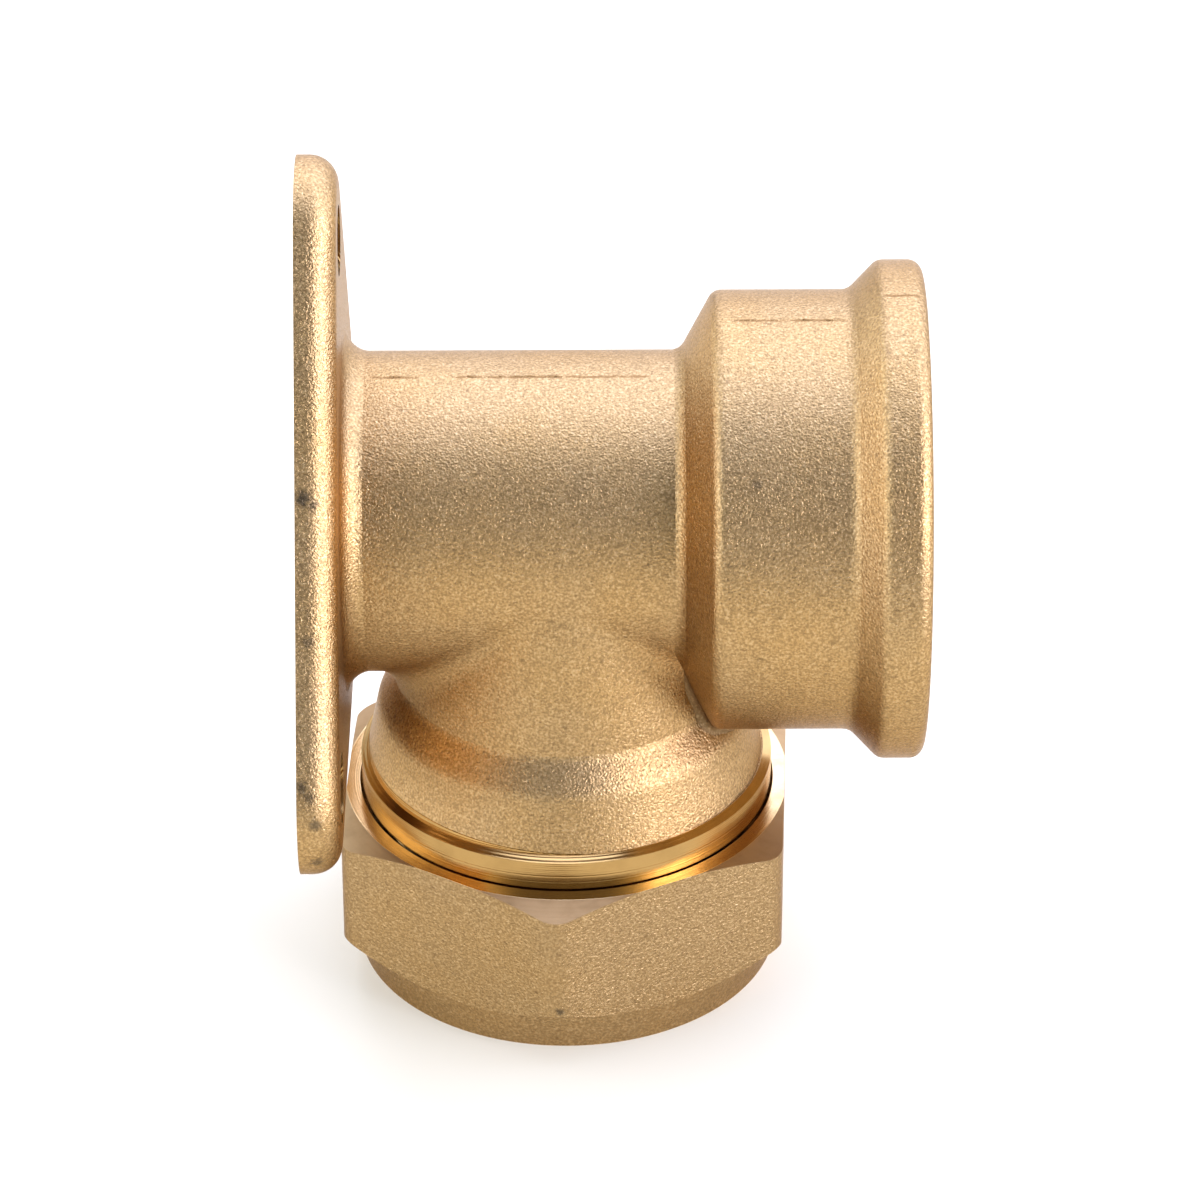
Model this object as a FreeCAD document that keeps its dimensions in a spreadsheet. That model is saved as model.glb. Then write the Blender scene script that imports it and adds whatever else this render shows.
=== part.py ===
"""Wall plate elbow: a forged brass elbow with a compression nut and its olive.

Frame, in mm: the origin is the centre of the wall face, on the axis of the stem.
X leaves the wall along the stem to the threaded mouth, Z points up and the
compression branch hangs down from the stem along -Z.
"""
import FreeCAD, Part
import math
import os
import Sketcher

os.makedirs("parts", exist_ok=True)
doc = FreeCAD.newDocument("wall_plate_elbow")
sheet = doc.addObject("Spreadsheet::Sheet", "sizes")

SIZES = [
    # tube socket, olive and threads, from the tube outwards
    ("tube_socket_dia", 22.2),
    ("tube_stop_width", 1.6),
    ("riser_dia", "=tube_socket_dia - 2 * tube_stop_width"),
    ("seat_width", 1.5),
    ("seat_dia", "=tube_socket_dia + 2 * seat_width"),
    ("seat_half_angle", 30.0),
    ("seat_clearance", 0.2),
    ("olive_tip_wall", 0.35),
    ("olive_tip_dia", "=tube_socket_dia + 2 * olive_tip_wall"),
    ("olive_land", 1.6),
    ("branch_end_wall", 0.45),
    ("branch_end_chamfer", 0.25),
    ("male_root_dia", "=seat_dia + 2 * branch_end_wall"),
    ("thread_room", 1.05),
    ("nut_root_dia", "=male_root_dia + 2 * thread_room"),
    # turned ring and wall of the branch, then its forged diameters up to the stem
    ("ring_step", 1.95),
    ("ring_dia", "=male_root_dia + 2 * ring_step"),
    ("bevel_width", 0.6),
    ("turned_wall_dia", "=ring_dia - 2 * bevel_width"),
    ("turning_allowance", 0.5),
    ("flange_dia", "=ring_dia + 2 * turning_allowance"),
    ("skirt_draft", 0.9),
    ("shoulder_dia", "=turned_wall_dia - 2 * skirt_draft"),
    ("shoulder_step", 1.45),
    ("neck_base_dia", "=shoulder_dia - 2 * shoulder_step"),
    ("neck_draft", 0.85),
    ("neck_top_dia", "=neck_base_dia - 2 * neck_draft"),
    ("stem_overhang", 0.25),
    ("stem_dia", "=neck_top_dia + 2 * stem_overhang"),
    ("neck_root_round", 1.8),
    ("shoulder_round", 2.5),
    ("crotch_round", 3.0),
    ("blend_bite", 0.02),
    # wall plate, a rounded triangle with a screw hole in each lobe
    ("plate_thickness", 2.9),
    ("screw_reach", 10.55),
    ("screw_circle_dia", "=stem_dia + 2 * screw_reach"),
    ("screw_hole_dia", 5.0),
    ("lobe_wall", 3.5),
    ("lobe_width", "=screw_hole_dia + 2 * lobe_wall"),
    ("plate_edge_round", 2.0),
    ("plate_root_round", 1.8),
    # along the stem, from the wall to the mouth
    ("stem_length", 23.75),
    ("stem_end", "=plate_thickness + stem_length"),
    ("flare_length", 2.4),
    ("socket_start", "=stem_end + flare_length"),
    ("socket_length", 9.6),
    ("bead_cone_start", "=socket_start + socket_length"),
    ("bead_cone_length", 2.05),
    ("bead_start", "=bead_cone_start + bead_cone_length"),
    ("bead_length", 3.2),
    ("body_length", "=bead_start + bead_length"),
    # female pipe thread, and the socket and bead round it
    ("outlet_thread_dia", 26.44),
    ("outlet_floor_depth", 2.4),
    ("outlet_lead_in", 0.8),
    ("socket_wall", 2.48),
    ("socket_dia", "=outlet_thread_dia + 2 * socket_wall"),
    ("bead_height", 2.1),
    ("bead_dia", "=socket_dia + 2 * bead_height"),
    ("flare_root_round", 1.1),
    ("flare_top_round", 1.0),
    ("mouth_round", 1.0),
    # axis of the branch, forged slightly off the turned one, and the waterway
    ("plate_clearance", 1.1),
    ("branch_offset", "=plate_thickness + plate_clearance + turned_wall_dia / 2"),
    ("forging_shift", 0.13),
    ("stem_wall", 2.45),
    ("waterway_dia", "=stem_dia - 2 * stem_wall"),
    ("waterway_ledge", 0.6),
    ("waterway_end", "=branch_offset - riser_dia / 2 + waterway_ledge"),
    ("drill_half_angle", 59.0),
    ("riser_top", 1.0),
    # depths down the branch, from the axis of the stem
    ("neck_length", 1.95),
    ("neck_base_depth", "=stem_dia / 2 + neck_length"),
    ("shoulder_length", 2.2),
    ("shoulder_depth", "=neck_base_depth + shoulder_length"),
    ("skirt_length", 4.4),
    ("flange_top_depth", "=shoulder_depth + skirt_length"),
    ("turned_wall_height", 1.5),
    ("turned_wall_top", "=flange_top_depth - turned_wall_height"),
    ("bevel_drop", 0.05),
    ("bevel_top_depth", "=flange_top_depth + bevel_drop"),
    ("bevel_height", 0.27),
    ("ring_height", 2.45),
    ("ring_foot_depth", "=bevel_top_depth + ring_height"),
    ("thread_length", 7.8),
    ("branch_end_depth", "=ring_foot_depth + thread_length"),
    ("tube_socket_depth", 15.7),
    ("tube_stop_depth", "=branch_end_depth - tube_socket_depth"),
    # compression nut, round the branch and under the olive
    ("nut_wall", 1.9),
    ("nut_across_flats", "=nut_root_dia + 2 * nut_wall"),
    ("nut_corner_round", 2.2),
    ("nut_rest_angle", 2.3),
    ("nut_drop", 0.1),
    ("nut_top_depth", "=ring_foot_depth + nut_drop"),
    ("nut_bore_play", 0.2),
    ("nut_bore_dia", "=tube_socket_dia + 2 * nut_bore_play"),
    ("nut_bore_chamfer", 0.4),
    ("nut_seat_depth", "=branch_end_depth + 2 * seat_clearance + olive_land"),
    ("nut_seat_drop", "=(seat_dia - nut_bore_dia) / 2 / tan(seat_half_angle * 1 deg)"),
    ("nut_floor", 1.5),
    ("nut_foot_depth", "=nut_seat_depth + nut_seat_drop + nut_floor"),
    ("nut_face_overhang", 0.2),
    ("nut_top_face_dia", "=nut_across_flats + 2 * nut_face_overhang"),
    ("nut_top_chamfer_angle", 22.0),
    ("nut_collar_inset", 0.05),
    ("nut_collar_dia", "=nut_across_flats - 2 * nut_collar_inset"),
    ("nut_collar_height", 2.85),
    ("nut_foot_taper", 0.5),
    ("nut_foot_dia", "=nut_collar_dia - 2 * nut_foot_taper"),
    ("nut_foot_chamfer_angle", 37.0),
    ("ring_gap", 0.15),
    ("nut_lead_in", 1.2),
    ("turning_overrun", 1.5),
    ("turning_reach", "=nut_across_flats / sqrt(3) + turning_overrun"),
]
LEAST_CUT = 5.0  # mm3; a cut that takes away less has missed its piece
for row, (alias, value) in enumerate(SIZES, start=1):
    sheet.set("A%d" % row, alias)
    sheet.set("B%d" % row, str(value))
    sheet.setAlias("B%d" % row, alias)
doc.recompute()


def number(expression):
    """Value of an expression in the sheet's names, for the starting position of a point."""
    return float(sheet.evalExpression(expression))


def plane(body, role):
    """Origin plane of a body."""
    return next(item for item in body.Origin.OriginFeatures if item.Role == role)


def bind(sketch, kind, *ends):
    """Adds a size to a sketch and ties it to an expression, the last of the ends."""
    place = sketch.addConstraint(Sketcher.Constraint(kind, *ends[:-1], number(ends[-1])))
    sketch.setExpression("Constraints[%d]" % place, ends[-1])


def pin(sketch, piece, end, across, along):
    """Ties a point of a sketch to two expressions, measured from the origin."""
    for kind, axis, text in (("DistanceX", -2, across), ("DistanceY", -1, along)):
        if text == "0":
            sketch.addConstraint(Sketcher.Constraint("PointOnObject", piece, end, axis))
        else:
            bind(sketch, kind, -1, 1, piece, end, text)


def corner_arc(before, corner, after, radius):
    """Arc that rounds a corner, with its ends on the two sides, and whether it turns left."""
    inward = (before - corner).normalize()
    outward = (after - corner).normalize()
    half = inward.getAngle(outward) / 2
    middle = (inward + outward).normalize()
    centre = corner + middle * (radius / math.sin(half))
    first = corner + inward * (radius / math.tan(half)) - centre
    last = corner + outward * (radius / math.tan(half)) - centre
    left = inward.cross(outward).z < 0
    ends = (first, last) if left else (last, first)
    angles = [math.atan2(end.y, end.x) for end in ends]
    circle = Part.Circle(centre, FreeCAD.Vector(0, 0, 1), radius)
    return Part.ArcOfCircle(circle, *angles), centre + first, centre + last, left


def profile(body, name, role, corners, shift=None):
    """Closed outline of straight sides; a corner is two expressions, and a third rounds it."""
    sketch = body.newObject("Sketcher::SketchObject", name)
    sketch.AttachmentSupport = [(plane(body, role), "")]
    sketch.MapMode = "FlatFace"
    if shift:
        sketch.setExpression(".AttachmentOffset.Base.x", shift)
    points = [FreeCAD.Vector(number(corner[0]), number(corner[1]), 0) for corner in corners]
    count = len(points)
    starts = list(points)
    finishes = list(points)
    arcs = {}
    for index, corner in enumerate(corners):
        if len(corner) == 3:
            before = points[index - 1]
            after = points[(index + 1) % count]
            arcs[index] = corner_arc(before, points[index], after, number(corner[2]))
            finishes[index] = arcs[index][1]
            starts[index] = arcs[index][2]
    for index in range(count):
        side = Part.LineSegment(starts[index], finishes[(index + 1) % count])
        sketch.addGeometry(side, False)
    for index, corner in enumerate(corners):
        incoming = (index - 1) % count
        if index not in arcs:
            sketch.addConstraint(Sketcher.Constraint("Coincident", incoming, 2, index, 1))
            pin(sketch, index, 1, corner[0], corner[1])
            continue
        arc, _, _, left = arcs[index]
        piece = sketch.addGeometry(arc, False)
        near, far = (1, 2) if left else (2, 1)
        sketch.addConstraint(Sketcher.Constraint("Tangent", incoming, 2, piece, near))
        sketch.addConstraint(Sketcher.Constraint("Tangent", piece, far, index, 1))
        bind(sketch, "Radius", piece, corner[2])
        apex = sketch.addGeometry(Part.Point(points[index]), True)
        sketch.addConstraint(Sketcher.Constraint("PointOnObject", apex, 1, incoming))
        sketch.addConstraint(Sketcher.Constraint("PointOnObject", apex, 1, index))
        pin(sketch, apex, 1, corner[0], corner[1])
    doc.recompute()
    return sketch


def turned(body, name, sketch, axis, cut=False):
    """Whole turn of a profile about an axis of its sketch, added or cut away."""
    kind = "PartDesign::Groove" if cut else "PartDesign::Revolution"
    feature = body.newObject(kind, name)
    feature.Profile = sketch
    feature.ReferenceAxis = (sketch, [axis])
    feature.Angle = 360.0
    body.Tip = feature
    doc.recompute()
    return feature


def rounded(body, name, base, edges, radius):
    """Fillet of the named edges with a radius from the sheet."""
    feature = body.newObject("PartDesign::Fillet", name)
    feature.Base = (base, edges)
    feature.setExpression("Radius", radius)
    body.Tip = feature
    doc.recompute()


def fused(body, name, tools):
    """Union of a body with other bodies."""
    feature = body.newObject("PartDesign::Boolean", name)
    feature.Type = "Fuse"
    feature.addObjects(tools)
    body.Tip = feature
    doc.recompute()


def edges_where(shape, test):
    """Names of the edges of a shape that pass a test."""
    return ["Edge%d" % at for at, edge in enumerate(shape.Edges, start=1) if test(edge)]


def free_curve(edge):
    """Test for an edge that lies in no plane across X, Y or Z, as a run-in curve does."""
    box = edge.BoundBox
    curved = not isinstance(edge.Curve, (Part.Circle, Part.Line))
    return curved and min(box.XLength, box.YLength, box.ZLength) > 0.05


# Forged blank of the branch, on its own axis.
FORGED_AXIS = "sizes.branch_offset - sizes.forging_shift"
TURNED_AXIS = "sizes.branch_offset"
blank = doc.addObject("PartDesign::Body", "branch_blank")
blank_sketch = profile(
    blank,
    "blank_profile",
    "XZ_Plane",
    [
        ("0", "0"),
        ("sizes.neck_top_dia / 2 - sizes.blend_bite", "0"),
        (
            "sizes.neck_base_dia / 2 - sizes.blend_bite",
            "-sizes.neck_base_depth",
            "sizes.neck_root_round",
        ),
        ("sizes.shoulder_dia / 2", "-sizes.shoulder_depth", "sizes.shoulder_round"),
        ("sizes.turned_wall_dia / 2", "-sizes.flange_top_depth"),
        ("sizes.flange_dia / 2", "-sizes.flange_top_depth"),
        ("sizes.flange_dia / 2", "-sizes.branch_end_depth"),
        ("0", "-sizes.branch_end_depth"),
    ],
    shift=FORGED_AXIS,
)
turned(blank, "blank_turn", blank_sketch, "V_Axis")

# Socket and bead with their soft forged corners, on the axis of the stem.
STUB = "sizes.stem_dia / 2 - sizes.blend_bite"
mouth = doc.addObject("PartDesign::Body", "mouth_blank")
mouth_sketch = profile(
    mouth,
    "mouth_profile",
    "XZ_Plane",
    [
        ("sizes.branch_offset", "0"),
        ("sizes.body_length", "0"),
        ("sizes.body_length", "sizes.bead_dia / 2", "sizes.mouth_round"),
        ("sizes.bead_start", "sizes.bead_dia / 2", "sizes.flare_top_round"),
        ("sizes.bead_cone_start", "sizes.socket_dia / 2", "sizes.flare_root_round"),
        ("sizes.socket_start", "sizes.socket_dia / 2", "sizes.flare_top_round"),
        ("sizes.stem_end", STUB, "sizes.flare_root_round"),
        ("sizes.branch_offset", STUB),
    ],
)
turned(mouth, "mouth_turn", mouth_sketch, "H_Axis")

# Wall plate: lobes at 90, 210 and 330 degrees joined by straight edges, with a stub of the stem.
plate = doc.addObject("PartDesign::Body", "plate_blank")
plate_sketch = plate.newObject("Sketcher::SketchObject", "plate_outline")
plate_sketch.AttachmentSupport = [(plane(plate, "YZ_Plane"), "")]
plate_sketch.MapMode = "FlatFace"
reach = number("sizes.screw_circle_dia / 2")
lobe = number("sizes.lobe_width / 2")
lobe_angles = [math.radians(90 + 120 * step) for step in range(3)]
half_wrap = math.radians(60)
for angle in lobe_angles:
    centre = FreeCAD.Vector(reach * math.cos(angle), reach * math.sin(angle), 0)
    round_end = Part.Circle(centre, FreeCAD.Vector(0, 0, 1), lobe)
    arc = Part.ArcOfCircle(round_end, angle - half_wrap, angle + half_wrap)
    plate_sketch.addGeometry(arc, False)
for step in range(3):
    start = plate_sketch.Geometry[step].EndPoint
    finish = plate_sketch.Geometry[(step + 1) % 3].StartPoint
    plate_sketch.addGeometry(Part.LineSegment(start, finish), False)
for step in range(3):
    after = (step + 1) % 3
    plate_sketch.addConstraint(Sketcher.Constraint("Tangent", step, 2, 3 + step, 1))
    plate_sketch.addConstraint(Sketcher.Constraint("Tangent", 3 + step, 2, after, 1))
for step in (1, 2):
    plate_sketch.addConstraint(Sketcher.Constraint("Equal", 0, step))
bind(plate_sketch, "Radius", 0, "sizes.lobe_width / 2")
LOBE_CENTRES = [
    ("0", "sizes.screw_circle_dia / 2"),
    ("-sizes.screw_circle_dia / 2 * cos(30 deg)", "-sizes.screw_circle_dia / 4"),
    ("sizes.screw_circle_dia / 2 * cos(30 deg)", "-sizes.screw_circle_dia / 4"),
]
for step, (across, along) in enumerate(LOBE_CENTRES):
    pin(plate_sketch, step, 3, across, along)
plate_pad = plate.newObject("PartDesign::Pad", "plate_pad")
plate_pad.Profile = plate_sketch
plate_pad.setExpression("Length", "sizes.plate_thickness")
plate.Tip = plate_pad
doc.recompute()
front = number("sizes.plate_thickness")


def on_plate_front(edge):
    """Test for the edges of the plate's front face."""
    box = edge.BoundBox
    return box.XMin > front - 0.01 and box.XMax < front + 0.01


rounded(
    plate,
    "plate_edge",
    plate_pad,
    edges_where(plate_pad.Shape, on_plate_front),
    "sizes.plate_edge_round",
)
ROOT_REACH = "sizes.plate_thickness + 2 * sizes.plate_root_round"
SUNK_FRONT = "sizes.plate_thickness - sizes.blend_bite"
stub_sketch = profile(
    plate,
    "stub_profile",
    "XZ_Plane",
    [
        ("0", "0"),
        (ROOT_REACH, "0"),
        (ROOT_REACH, STUB),
        (SUNK_FRONT, STUB, "sizes.plate_root_round"),
        (SUNK_FRONT, STUB + " + 2 * sizes.plate_root_round"),
        ("0", STUB + " + 2 * sizes.plate_root_round"),
    ],
)
turned(plate, "stub_turn", stub_sketch, "H_Axis")

# Stem with the neck of the branch on it and the crotch between them blended; the blanks join it.
elbow = doc.addObject("PartDesign::Body", "elbow_body")
stem_sketch = profile(
    elbow,
    "stem_profile",
    "XZ_Plane",
    [
        ("0", "0"),
        ("sizes.bead_cone_start", "0"),
        ("sizes.bead_cone_start", "sizes.stem_dia / 2"),
        ("0", "sizes.stem_dia / 2"),
    ],
)
turned(elbow, "stem_turn", stem_sketch, "H_Axis")
NECK_SLOPE = "(sizes.neck_base_dia - sizes.neck_top_dia) / 2 / sizes.neck_base_depth"
neck_sketch = profile(
    elbow,
    "neck_profile",
    "XZ_Plane",
    [
        ("0", "0"),
        ("sizes.neck_top_dia / 2", "0"),
        (
            "sizes.neck_top_dia / 2 + %s * sizes.turned_wall_top" % NECK_SLOPE,
            "-sizes.turned_wall_top",
        ),
        ("0", "-sizes.turned_wall_top"),
    ],
    shift=FORGED_AXIS,
)
neck_turn = turned(elbow, "neck_turn", neck_sketch, "V_Axis")
rounded(
    elbow, "crotch", neck_turn, edges_where(neck_turn.Shape, free_curve), "sizes.crotch_round"
)
fused(elbow, "forging", [blank, mouth, plate])


def cut_down(body, name, sketch, axis):
    """Turned cut that stops the build when it misses the body."""
    before = body.Tip.Shape.Volume
    feature = turned(body, name, sketch, axis, cut=True)
    if before - feature.Shape.Volume < LEAST_CUT:
        raise RuntimeError("%s takes nothing from %s" % (name, body.Label))


# Turned end of the branch, cut true to the turned axis.
turning_sketch = profile(
    elbow,
    "turning_profile",
    "XZ_Plane",
    [
        ("sizes.turned_wall_dia / 2", "-sizes.turned_wall_top"),
        ("sizes.turned_wall_dia / 2", "-sizes.bevel_top_depth"),
        ("sizes.ring_dia / 2", "-sizes.bevel_top_depth - sizes.bevel_height"),
        ("sizes.ring_dia / 2", "-sizes.ring_foot_depth"),
        ("sizes.male_root_dia / 2", "-sizes.ring_foot_depth"),
        ("sizes.male_root_dia / 2", "-sizes.branch_end_depth + sizes.branch_end_chamfer"),
        ("sizes.male_root_dia / 2 - sizes.branch_end_chamfer", "-sizes.branch_end_depth"),
        ("sizes.turning_reach", "-sizes.branch_end_depth"),
        ("sizes.turning_reach", "-sizes.turned_wall_top"),
    ],
    shift=TURNED_AXIS,
)
cut_down(elbow, "turning", turning_sketch, "V_Axis")

# Female thread bore and waterway from the mouth, ending in a drill point.
DRILL = "tan(sizes.drill_half_angle * 1 deg)"
outlet_sketch = profile(
    elbow,
    "outlet_profile",
    "XZ_Plane",
    [
        ("sizes.waterway_end - sizes.waterway_dia / 2 / %s" % DRILL, "0"),
        ("sizes.waterway_end", "sizes.waterway_dia / 2"),
        ("sizes.stem_end", "sizes.waterway_dia / 2"),
        ("sizes.stem_end + sizes.outlet_floor_depth", "sizes.outlet_thread_dia / 2"),
        ("sizes.body_length - sizes.outlet_lead_in", "sizes.outlet_thread_dia / 2"),
        ("sizes.body_length", "sizes.outlet_thread_dia / 2 + sizes.outlet_lead_in"),
        ("sizes.body_length", "0"),
    ],
)
cut_down(elbow, "outlet", outlet_sketch, "H_Axis")

# Tube socket, its stop and the riser up to the waterway, with the olive's seat at the end.
SEAT = "tan(sizes.seat_half_angle * 1 deg)"
tube_sketch = profile(
    elbow,
    "tube_profile",
    "XZ_Plane",
    [
        ("0", "sizes.riser_top + sizes.riser_dia / 2 / %s" % DRILL),
        ("sizes.riser_dia / 2", "sizes.riser_top"),
        ("sizes.riser_dia / 2", "-sizes.tube_stop_depth"),
        ("sizes.tube_socket_dia / 2", "-sizes.tube_stop_depth"),
        (
            "sizes.tube_socket_dia / 2",
            "-sizes.branch_end_depth + (sizes.seat_dia - sizes.tube_socket_dia) / 2 / %s" % SEAT,
        ),
        ("sizes.seat_dia / 2", "-sizes.branch_end_depth"),
        ("0", "-sizes.branch_end_depth"),
    ],
    shift=TURNED_AXIS,
)
cut_down(elbow, "tube_socket", tube_sketch, "V_Axis")

# Screw holes through the lobes.
hole_sketch = elbow.newObject("Sketcher::SketchObject", "hole_circles")
hole_sketch.AttachmentSupport = [(plane(elbow, "YZ_Plane"), "")]
hole_sketch.MapMode = "FlatFace"
hole = number("sizes.screw_hole_dia / 2")
for across, along in LOBE_CENTRES:
    centre = FreeCAD.Vector(number(across), number(along), 0)
    hole_sketch.addGeometry(Part.Circle(centre, FreeCAD.Vector(0, 0, 1), hole), False)
for step in (1, 2):
    hole_sketch.addConstraint(Sketcher.Constraint("Equal", 0, step))
bind(hole_sketch, "Diameter", 0, "sizes.screw_hole_dia")
for step, (across, along) in enumerate(LOBE_CENTRES):
    pin(hole_sketch, step, 3, across, along)
before = elbow.Tip.Shape.Volume
holes = elbow.newObject("PartDesign::Pocket", "screw_holes")
holes.Profile = hole_sketch
holes.setExpression("Length", "2 * sizes.plate_thickness")
holes.Reversed = True
elbow.Tip = holes
doc.recompute()
if before - holes.Shape.Volume < LEAST_CUT:
    raise RuntimeError("the screw holes miss the plate")

# Olive: a ring tapered at both ends to its seats.
OLIVE_TOP = "-sizes.branch_end_depth - sizes.seat_clearance"
OLIVE_FOOT = OLIVE_TOP + " - sizes.olive_land"
TAPER = "(sizes.seat_dia - sizes.olive_tip_dia) / 2 / %s" % SEAT
olive = doc.addObject("PartDesign::Body", "olive")
olive_sketch = profile(
    olive,
    "olive_profile",
    "XZ_Plane",
    [
        ("sizes.tube_socket_dia / 2", "%s + %s" % (OLIVE_TOP, TAPER)),
        ("sizes.olive_tip_dia / 2", "%s + %s" % (OLIVE_TOP, TAPER)),
        ("sizes.seat_dia / 2", OLIVE_TOP),
        ("sizes.seat_dia / 2", OLIVE_FOOT),
        ("sizes.olive_tip_dia / 2", "%s - %s" % (OLIVE_FOOT, TAPER)),
        ("sizes.tube_socket_dia / 2", "%s - %s" % (OLIVE_FOOT, TAPER)),
    ],
    shift=TURNED_AXIS,
)
turned(olive, "olive_turn", olive_sketch, "V_Axis")

# Compression nut: a rounded hexagon turned at both ends and bored through.
nut = doc.addObject("PartDesign::Body", "compression_nut")
FLAT = "sizes.nut_across_flats / 2"
HALF_SIDE = "sizes.nut_across_flats / 2 * tan(30 deg)"
CORNER = "sizes.nut_across_flats / sqrt(3)"
hex_sketch = profile(
    nut,
    "hexagon",
    "XY_Plane",
    [
        (FLAT, "-" + HALF_SIDE),
        (FLAT, HALF_SIDE),
        ("0", CORNER),
        ("-" + FLAT, HALF_SIDE),
        ("-" + FLAT, "-" + HALF_SIDE),
        ("0", "-" + CORNER),
    ],
    shift=TURNED_AXIS,
)
hex_sketch.setExpression(".AttachmentOffset.Base.z", "-sizes.nut_foot_depth")
hex_sketch.setExpression(".AttachmentOffset.Rotation.Angle", "-sizes.nut_rest_angle * 1 deg")
hex_pad = nut.newObject("PartDesign::Pad", "hex_pad")
hex_pad.Profile = hex_sketch
hex_pad.setExpression("Length", "sizes.nut_foot_depth - sizes.nut_top_depth")
nut.Tip = hex_pad
doc.recompute()


def upright(edge):
    """Test for the upright edges of the hexagon."""
    return edge.BoundBox.ZLength > number("sizes.nut_foot_depth - sizes.nut_top_depth") - 0.01


rounded(nut, "hex_corners", hex_pad, edges_where(hex_pad.Shape, upright), "sizes.nut_corner_round")
TOP_DROP = (
    "(sizes.turning_reach - sizes.nut_top_face_dia / 2)"
    " * tan(sizes.nut_top_chamfer_angle * 1 deg)"
)
top_sketch = profile(
    nut,
    "nut_top_profile",
    "XZ_Plane",
    [
        ("sizes.nut_top_face_dia / 2", "-sizes.nut_top_depth"),
        ("sizes.turning_reach", "-sizes.nut_top_depth"),
        ("sizes.turning_reach", "-sizes.nut_top_depth - %s" % TOP_DROP),
    ],
    shift=TURNED_AXIS,
)
cut_down(nut, "nut_top_turning", top_sketch, "V_Axis")
FOOT_RISE = (
    "(sizes.turning_reach - sizes.nut_collar_dia / 2)"
    " * tan(sizes.nut_foot_chamfer_angle * 1 deg)"
)
COLLAR_TOP = "-sizes.nut_foot_depth + sizes.nut_collar_height"
foot_sketch = profile(
    nut,
    "nut_foot_profile",
    "XZ_Plane",
    [
        ("sizes.nut_foot_dia / 2", "-sizes.nut_foot_depth"),
        ("sizes.nut_collar_dia / 2", COLLAR_TOP),
        ("sizes.turning_reach", "%s + %s" % (COLLAR_TOP, FOOT_RISE)),
        ("sizes.turning_reach", "-sizes.nut_foot_depth"),
    ],
    shift=TURNED_AXIS,
)
cut_down(nut, "nut_foot_turning", foot_sketch, "V_Axis")
NUT_SEAT = "-sizes.nut_seat_depth"
bore_sketch = profile(
    nut,
    "nut_bore_profile",
    "XZ_Plane",
    [
        ("0", "-sizes.nut_top_depth"),
        ("sizes.ring_dia / 2 + sizes.ring_gap", "-sizes.nut_top_depth"),
        ("sizes.nut_root_dia / 2", "-sizes.nut_top_depth - sizes.nut_lead_in"),
        ("sizes.nut_root_dia / 2", "%s + (sizes.nut_root_dia - sizes.seat_dia) / 2" % NUT_SEAT),
        ("sizes.seat_dia / 2", NUT_SEAT),
        ("sizes.nut_bore_dia / 2", "%s - sizes.nut_seat_drop" % NUT_SEAT),
        ("sizes.nut_bore_dia / 2", "-sizes.nut_foot_depth + sizes.nut_bore_chamfer"),
        ("sizes.nut_bore_dia / 2 + sizes.nut_bore_chamfer", "-sizes.nut_foot_depth"),
        ("0", "-sizes.nut_foot_depth"),
    ],
    shift=TURNED_AXIS,
)
cut_down(nut, "nut_bore", bore_sketch, "V_Axis")

# Every object is sound before its shape is written.
doc.recompute()
for item in doc.Objects:
    if "Invalid" in item.State or "Error" in item.State:
        raise RuntimeError("%s did not compute: %s" % (item.Name, item.State))
for body in (elbow, nut, olive):
    shape = body.Shape
    if shape.isNull() or not shape.isValid() or len(shape.Solids) != 1:
        raise RuntimeError("%s is not one sound solid" % body.Label)
    shape.exportStep("parts/%s.step" % body.Label)
    print(body.Label, "%.1f mm3" % shape.Volume, shape.BoundBox)
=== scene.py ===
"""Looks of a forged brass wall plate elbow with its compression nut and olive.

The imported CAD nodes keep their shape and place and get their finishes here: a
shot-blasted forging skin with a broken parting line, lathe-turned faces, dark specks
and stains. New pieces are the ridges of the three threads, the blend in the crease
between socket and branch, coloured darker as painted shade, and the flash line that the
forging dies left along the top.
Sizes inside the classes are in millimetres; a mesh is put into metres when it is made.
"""
from __future__ import annotations

import logging
import math
from dataclasses import dataclass, field
from enum import Enum
from typing import Any, Mapping

import bpy
import numpy as np
from mathutils import Matrix, Vector


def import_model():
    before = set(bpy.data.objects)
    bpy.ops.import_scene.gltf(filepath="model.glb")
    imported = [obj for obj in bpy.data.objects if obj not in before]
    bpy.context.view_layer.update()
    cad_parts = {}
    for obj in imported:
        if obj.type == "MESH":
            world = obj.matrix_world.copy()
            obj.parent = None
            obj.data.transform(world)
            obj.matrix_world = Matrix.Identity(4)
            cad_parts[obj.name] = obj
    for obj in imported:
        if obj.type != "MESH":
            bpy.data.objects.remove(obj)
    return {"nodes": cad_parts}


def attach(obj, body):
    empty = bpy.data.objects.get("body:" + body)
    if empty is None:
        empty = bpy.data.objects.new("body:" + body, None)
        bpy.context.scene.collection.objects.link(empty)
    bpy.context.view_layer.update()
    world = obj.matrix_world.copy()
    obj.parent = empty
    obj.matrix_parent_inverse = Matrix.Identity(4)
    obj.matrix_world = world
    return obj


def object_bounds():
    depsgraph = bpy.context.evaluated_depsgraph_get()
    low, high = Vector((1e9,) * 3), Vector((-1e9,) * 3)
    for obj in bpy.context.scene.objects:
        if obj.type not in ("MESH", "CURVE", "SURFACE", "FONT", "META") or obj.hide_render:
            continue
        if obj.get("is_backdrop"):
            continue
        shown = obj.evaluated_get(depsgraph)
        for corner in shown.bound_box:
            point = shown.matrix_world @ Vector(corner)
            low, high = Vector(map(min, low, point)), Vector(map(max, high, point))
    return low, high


LOG = logging.getLogger("wall_plate_elbow")
MM = 0.001
# colour of the gloss at grazing angles, the same on every piece
EDGE_TINT = (0.66, 0.58, 0.53, 1.0)
Colour = tuple[float, float, float]


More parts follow.
